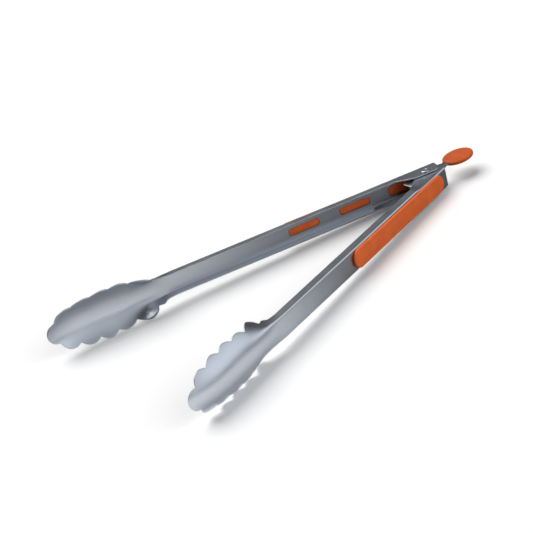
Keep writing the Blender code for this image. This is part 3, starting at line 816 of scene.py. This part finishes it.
def tube(name, path, radius, sides=14):
    """A round wire along a path, its two ends chamfered."""
    mesh = bmesh.new()
    lines = mesh.loops.layers.uv.new("along_and_round")
    rings, gone = [], 0.0
    up = Vector((0, 0, 1))
    for place, here in enumerate(path):
        ahead = path[min(place + 1, len(path) - 1)] - path[max(place - 1, 0)]
        gone += (here - path[place - 1]).length if place else 0
        side = ahead.cross(up).normalized()
        over = side.cross(ahead).normalized()
        here_only, chamfer = Vector((0, 0, 0)), ahead.normalized() * radius * 0.2
        sizes = [(radius, here_only)]
        if place == 0:
            sizes = [(radius * 0.8, here_only), (radius, chamfer)]
        if place == len(path) - 1:
            sizes = [(radius, -chamfer), (radius * 0.8, here_only)]
        for size, shift in sizes:
            ring = []
            for step in range(sides):
                turn = math.tau * step / sides
                reach = (side * math.cos(turn) + over * math.sin(turn)) * size
                ring.append(mesh.verts.new((here + shift + reach) * MM))
            rings.append((ring, gone))
    for (first, start), (second, end) in zip(rings, rings[1:]):
        for step in range(sides):
            after = (step + 1) % sides
            face = mesh.faces.new((first[step], first[after], second[after], second[step]))
            places = ((start, step), (start, step + 1), (end, step + 1), (end, step))
            for corner, (along, round_it) in zip(face.loops, places):
                corner[lines].uv = (along * 0.01, round_it * 0.002)
    mesh.faces.new(rings[0][0][::-1])
    mesh.faces.new(rings[-1][0])
    bmesh.ops.recalc_face_normals(mesh, faces=mesh.faces)
    for face in mesh.faces:
        face.smooth = True
    data = bpy.data.meshes.new(name)
    mesh.to_mesh(data)
    mesh.free()
    data.set_sharp_from_angle(angle=math.radians(40))
    return data


spring_wire = satin_steel("spring_wire", (12.0, 700.0, 1.0), (0.50, 0.50, 0.52))
spring = tube("wound_spring", wire_path(), WIRE / 2)
spring.transform(Matrix.Translation(HINGE))
spring.materials.append(spring_wire)
spring = bpy.data.objects.new("wound_spring", spring)
bpy.context.scene.collection.objects.link(spring)
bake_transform(spring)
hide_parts("hinge_spring")


# ---------------------------------------------------------------------------------------------
# Lock strip. A flat blanked steel strip just under the upper ear: a wide head with a slot for
# the bush and a hole for the pin, a neck between the arms, and a tongue inside the tab.

STRIP_TOP = INSIDE_EAR - SHEET - NEST_GAP
STRIP_FRONT, STRIP_END = -18.2, 33.0
STRIP_HALF, NECK_HALF, TONGUE_HALF = 5.1, 4.04, 2.8
SLOT_LENGTH = 4.0
PIN_PLACE, PIN_HOLE = -16.2, 1.15


def strip_outline(inset):
    """The strip's outline, drawn in by an inset."""
    half, neck, tongue = STRIP_HALF - inset, NECK_HALF - inset, TONGUE_HALF - inset
    front, end = STRIP_FRONT + inset, STRIP_END - inset
    side = [(front, half, 1.2), (2.5, half, 2.0), (5.5, neck, 2.0), (15.0, neck, 2.0),
            (17.0, tongue, 1.0), (end, tongue, 1.0)]
    corners = side + [(x, -y, radius) for x, y, radius in reversed(side)]
    outline = []
    for place, (x, y, radius) in enumerate(corners):
        before, after = corners[place - 1], corners[(place + 1) % len(corners)]
        outline += round_corner(before[:2], (x, y), after[:2], radius, 6)
    return outline


def stamp_strip():
    """The strip with rounded edges, slotted and pierced."""
    edge = ((0.25, 0.0), (0.07, 0.07), (0.0, 0.25), (0.0, 0.75), (0.07, 0.93), (0.25, 1.0))
    rings = [[(x, y, STRIP_TOP - down) for x, y in strip_outline(inset)] for inset, down in edge]
    strip = stacked("stamped_strip", rings)
    half = BUSH_OUT + SEAT_GAP
    slot = []
    for centre, start in ((0.0, -90), (-SLOT_LENGTH, 90)):
        slot += arc((centre, 0), half, start, start + 180, 16)
    pin_hole = [(PIN_PLACE + x, y) for x, y in arc((0, 0), PIN_HOLE, 0, 348, 29)]
    reach = 20
    strip = combined(strip, [prism(slot, -reach, reach), prism(pin_hole, -reach, reach)])
    strip.set_sharp_from_angle(angle=math.radians(50))
    return strip


strip_steel = satin_steel("strip_steel", (60.0, 60.0, 60.0), (0.56, 0.57, 0.59))
show("stamped_strip", stamp_strip(), strip_steel,
     "lock", ["lock_strip"], Matrix.Translation(HINGE))


# ---------------------------------------------------------------------------------------------
# Lock pin. A short hardened pin, its top flush in the strip's head, that drops behind the lips
# of both lower ears when the tab is pulled with the arms closed.

PIN_FLAT, PIN_EDGE = 0.65, 0.2
pin_low = -ARM_WIDTH / 2 + SEAT_GAP / 2
pin_profile = [(0, STRIP_TOP), (PIN_FLAT, STRIP_TOP)]
pin_profile += arc((PIN_FLAT, STRIP_TOP - PIN_EDGE), PIN_EDGE, 90, 0, 4)
pin_profile += arc((PIN_FLAT, pin_low + PIN_EDGE), PIN_EDGE, 0, -90, 4) + [(0, pin_low)]
show("hardened_pin", turned("hardened_pin", pin_profile, 32), spring_wire,
     "lock", ["lock_pin"], Matrix.Translation(HINGE + Vector((PIN_PLACE * MM, 0, 0))))


# ---------------------------------------------------------------------------------------------
# Pull tab. An oval of the same silicone moulded over the strip's tongue, slightly crowned on
# both faces, with a soft edge all round. Its silicone is painted darker than the grips' as shade
# against the stronger light on its upward face.

TAB_PLACE, TAB_LONG, TAB_WIDE, TAB_THICK = 31.4, 12.4, 9.6, 3.2
TAB_EDGE, TAB_CROWN = 1.3, 0.05


def mould_tab():
    """The oval, closed round the tongue."""
    middle = STRIP_TOP - SHEET / 2
    half = TAB_THICK / 2
    profile = [(4.5, half), (2.2, half - 0.02), (TAB_EDGE, half - TAB_CROWN)]
    for turn in (18, 36, 54, 72, 90):
        turn = math.radians(turn)
        profile.append((TAB_EDGE - TAB_EDGE * math.sin(turn), half - 1.2 + 1.15 * math.cos(turn)))
    profile += [(inset, -out) for inset, out in reversed(profile)]
    steps = 96
    rings = []
    for inset, out in profile:
        rings.append([(TAB_PLACE + (TAB_LONG - inset) * math.cos(math.tau * step / steps),
                       (TAB_WIDE - inset) * math.sin(math.tau * step / steps), middle + out)
                      for step in range(steps)])
    tab = stacked("moulded_tab", rings)
    side, end, mouth = TONGUE_HALF + SEAT_GAP, STRIP_END + SEAT_GAP, TAB_PLACE - TAB_LONG - 1
    room = SHEET / 2 + SEAT_GAP
    pocket = prism([(mouth, -side), (end, -side), (end, side), (mouth, side)],
                   middle - room, middle + room)
    tab = combined(tab, [pocket])
    tab.set_sharp_from_angle(angle=math.radians(50))
    return tab


# Painted shade: the tab's copy of the silicone is darker than the grips', so that its upward face,
# lit more strongly, comes out no brighter than they do.
shaded_tab_silicone = silicone("shaded_tab_silicone", (0.56, 0.10, 0.025))
show("moulded_tab", mould_tab(), shaded_tab_silicone,
     "lock", ["pull_tab"], Matrix.Translation(HINGE))


# ---------------------------------------------------------------------------------------------
# Stage. A pale floor tilted to lie under the scoops and the rivet's head, two broad suns, a sky
# with two bright sides, and the camera. The camera sees the floor and the sky nearly white, and
# all other rays see them darker and uneven, so that the steel has something to mirror. For those
# rays the floor carries a painted reflection: darker towards the hinge, brighter in a patch by the
# scoops.


def ranged(tree_nodes, start, end, low, high, smooth=True):
    """A Map Range node from start and end to low and high."""
    made = tree_nodes.new("ShaderNodeMapRange")
    if smooth:
        made.interpolation_type = "SMOOTHSTEP"
    ends = (("From Min", start), ("From Max", end), ("To Min", low), ("To Max", high))
    for socket, value in ends:
        made.inputs[socket].default_value = value
    return made


def camera_sees(tree_nodes, tree_links, seen_by_camera, seen_by_others, surface):
    """One shader for the camera's own rays, and another for all the rest."""
    rays = tree_nodes.new("ShaderNodeLightPath")
    choose = tree_nodes.new("ShaderNodeMixShader")
    tree_links.new(rays.outputs["Is Camera Ray"], choose.inputs["Fac"])
    tree_links.new(seen_by_others, choose.inputs[1])
    tree_links.new(seen_by_camera, choose.inputs[2])
    tree_links.new(choose.outputs["Shader"], surface)


TOUCHES = 0.24
lean = math.atan2(-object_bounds()[0].z, TOUCHES)
mesh = bmesh.new()
bmesh.ops.create_grid(mesh, x_segments=8, y_segments=8, size=2.5)
floor_data = bpy.data.meshes.new("floor")
mesh.to_mesh(floor_data)
mesh.free()
floor = bpy.data.objects.new("floor", floor_data)
floor.location = (0, 0, -0.0002)
floor.rotation_euler = (0, -lean, 0)
bpy.context.scene.collection.objects.link(floor)
paper = bpy.data.materials.new("paper")
paper.use_nodes = True
nodes, links = paper.node_tree.nodes, paper.node_tree.links
seen = nodes["Principled BSDF"]
seen.inputs["Base Color"].default_value = (0.99, 0.98, 0.97, 1)
seen.inputs["Roughness"].default_value = 0.9
seen.inputs["Specular IOR Level"].default_value = 0.0
# Painted reflection: for all rays but the camera's, the floor is painted darker towards the hinge
# and brighter in a patch in front of the scoops. The steel mirrors this, and it also sets how much
# bounce reaches the undersides.
other = nodes.new("ShaderNodeBsdfDiffuse")
where = nodes.new("ShaderNodeTexCoord")
split = nodes.new("ShaderNodeSeparateXYZ")
links.new(where.outputs["Object"], split.inputs["Vector"])
painted_reflection_fade = ranged(nodes, -0.28, 0.06, 0.45, 0.14, smooth=False)
links.new(split.outputs["X"], painted_reflection_fade.inputs["Value"])
away = nodes.new("ShaderNodeVectorMath")
away.operation = "DISTANCE"
away.inputs[1].default_value = (-0.28, -0.07, 0.0)
links.new(where.outputs["Object"], away.inputs[0])
painted_reflection_patch = ranged(nodes, 0.09, 0.2, 0.5, 0.0)
links.new(away.outputs["Value"], painted_reflection_patch.inputs["Value"])
level = nodes.new("ShaderNodeMath")
links.new(painted_reflection_fade.outputs["Result"], level.inputs[0])
links.new(painted_reflection_patch.outputs["Result"], level.inputs[1])
links.new(level.outputs["Value"], other.inputs["Color"])
camera_sees(nodes, links, seen.outputs["BSDF"], other.outputs["BSDF"],
            nodes["Material Output"].inputs["Surface"])
floor_data.materials.append(paper)

SUNS = (("key", (0.17, -0.52, -0.95), 55, 2.6), ("fill", (-0.30, 0.85, -0.40), 70, 1.1))
for name, way, spread, power in SUNS:
    light = bpy.data.lights.new(name, "SUN")
    light.angle = math.radians(spread)
    light.energy = power
    lamp = bpy.data.objects.new(name, light)
    lamp.visible_glossy = name == "key"
    lamp.rotation_euler = Vector(way).to_track_quat("-Z", "Y").to_euler()
    bpy.context.scene.collection.objects.link(lamp)

world = bpy.data.worlds.new("studio")
world.use_nodes = True
bpy.context.scene.world = world
nodes, links = world.node_tree.nodes, world.node_tree.links
sky = nodes["Background"]
sky.inputs["Color"].default_value = (0.90, 0.95, 1.0, 1)
ways = nodes.new("ShaderNodeTexCoord")
SKY_SIDES = (((0.45, -0.85, 0.2), 0.45, 0.95, 0.08, 0.85),
             ((0.80, -0.42, 0.42), 0.8, 0.98, 0.0, 0.4))
strengths = nodes.new("ShaderNodeMath")
for place, (way, start, end, low, high) in enumerate(SKY_SIDES):
    toward = nodes.new("ShaderNodeVectorMath")
    toward.operation = "DOT_PRODUCT"
    toward.inputs[1].default_value = Vector(way).normalized()
    links.new(ways.outputs["Generated"], toward.inputs[0])
    level = ranged(nodes, start, end, low, high)
    links.new(toward.outputs["Value"], level.inputs["Value"])
    links.new(level.outputs["Result"], strengths.inputs[place])
links.new(strengths.outputs["Value"], sky.inputs["Strength"])
bright = nodes.new("ShaderNodeBackground")
bright.inputs["Color"].default_value = (1, 1, 1, 1)
camera_sees(nodes, links, bright.outputs["Background"], sky.outputs["Background"],
            nodes["World Output"].inputs["Surface"])

camera_data = bpy.data.cameras.new("camera")
camera_data.lens = 148.6
camera_data.sensor_width = 36.0
camera_data.clip_end = 20
camera = bpy.data.objects.new("camera", camera_data)
right_way = Vector((0.75176, -0.61961, -0.22569))
down_way = Vector((-0.45064, -0.23286, -0.86180))
ahead_way = right_way.cross(down_way)
facing = Matrix((right_way.normalized(), -down_way.normalized(), -ahead_way.normalized()))
camera.rotation_mode = "QUATERNION"
camera.rotation_quaternion = facing.transposed().to_quaternion()
camera.location = HINGE + Vector((-0.8638, -1.1123, 0.6825))
bpy.context.scene.collection.objects.link(camera)
bpy.context.scene.camera = camera
bpy.context.scene.view_settings.view_transform = "Standard"
